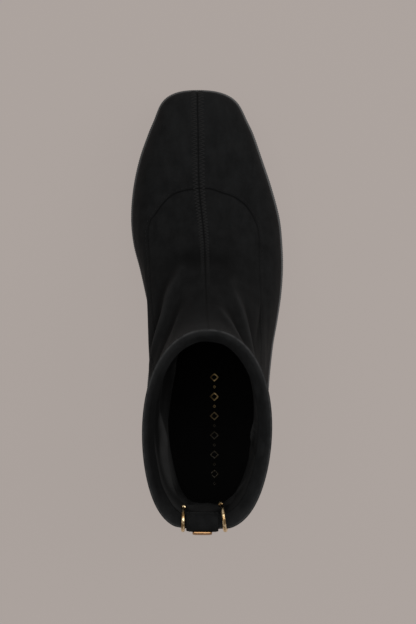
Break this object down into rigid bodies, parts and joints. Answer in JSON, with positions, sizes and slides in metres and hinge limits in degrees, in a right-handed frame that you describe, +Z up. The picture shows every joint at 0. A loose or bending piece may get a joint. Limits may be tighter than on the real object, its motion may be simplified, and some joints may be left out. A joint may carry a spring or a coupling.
{
  "type": "wedge ankle boot",
  "caption": "Right-foot wedge ankle boot: black stretch suede pull-on upper, blunt toe, full-length rubber wedge, gold-tone hoops and bar at the back pull tab.",
  "frame": {"origin": "on the floor, under the middle of the boot's bounding box", "axes": "+Z up, +Y from the heel to the toe, +X to the outer side of the right foot"},
  "size_m": [0.0878, 0.246, 0.1942],
  "materials": {
    "suede": "short brushed nap, no gloss",
    "rubber": "matt, finely milled edge",
    "lining": "smooth knitted lining",
    "gold_metal": "polished pale gold plating"
  },
  "bodies": {
    "root": {"outsole": "rubber", "wedge": "rubber", "insole": "lining", "upper": "suede", "collar_facing": "suede", "pull_tab": "suede", "hoop_medial": "gold_metal", "hoop_lateral": "gold_metal", "back_bar": "gold_metal"}
  },
  "joints": []
}
